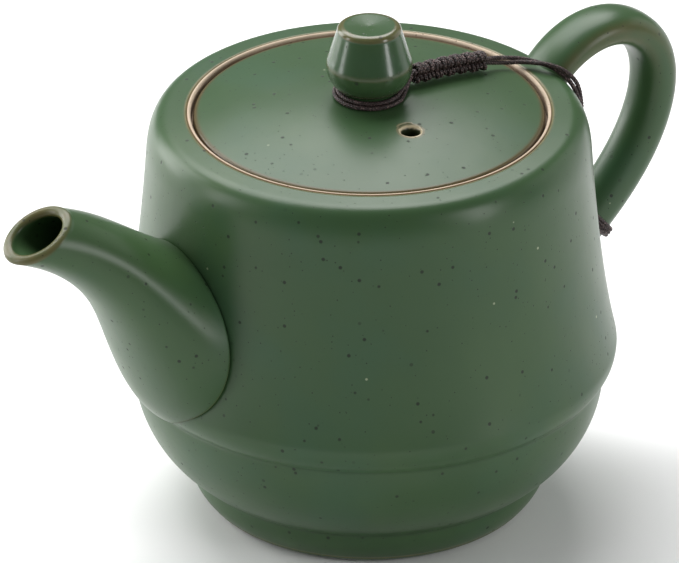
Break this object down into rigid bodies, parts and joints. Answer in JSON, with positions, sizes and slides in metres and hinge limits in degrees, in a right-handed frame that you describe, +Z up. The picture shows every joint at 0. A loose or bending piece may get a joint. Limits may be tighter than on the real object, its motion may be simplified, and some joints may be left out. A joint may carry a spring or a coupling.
{
  "type": "teapot",
  "caption": "Stoneware teapot with a stepped foot, S-curved spout, loop handle, ball strainer and a domed lid whose knob is tied to the handle by a braided cord.",
  "frame": {"origin": "centre of the foot ring's resting face", "axes": "+Z up along the pot's axis, the spout points to -X and the handle to +X"},
  "size_m": [0.1686, 0.108, 0.1121],
  "materials": {
    "green_glaze": "deep green satin gloss glaze with dark iron specks, olive brown where it breaks thin over edges",
    "bare_clay": "unglazed pinkish tan stoneware, fine sandy grain",
    "braided_cord": "dark brown waxed braided cord"
  },
  "bodies": {
    "pot": {"pot_body": "green_glaze", "lid_seat": "bare_clay", "foot_ring": "bare_clay", "spout": "green_glaze", "strainer": "green_glaze", "handle": "green_glaze", "cord_tether": "braided_cord", "cord_handle_tie": "braided_cord", "cord_ends": "braided_cord"},
    "cord_head": {"cord_neck_loop": "braided_cord", "cord_snake_knot": "braided_cord"},
    "lid": {"lid_plate": "green_glaze", "lid_flange": "bare_clay", "knob": "green_glaze"}
  },
  "joints": [
    {"name": "lid_lift", "type": "slide", "parent": "pot", "child": "cord_head", "axis": [0, 0, 1], "range_m": [0, 0.013], "deforming": ["cord_tether"]},
    {"name": "lid_turn", "type": "hinge", "parent": "cord_head", "child": "lid", "pos_m": [0, 0, 0.0885], "axis": [0, 0, 1], "continuous": true}
  ]
}
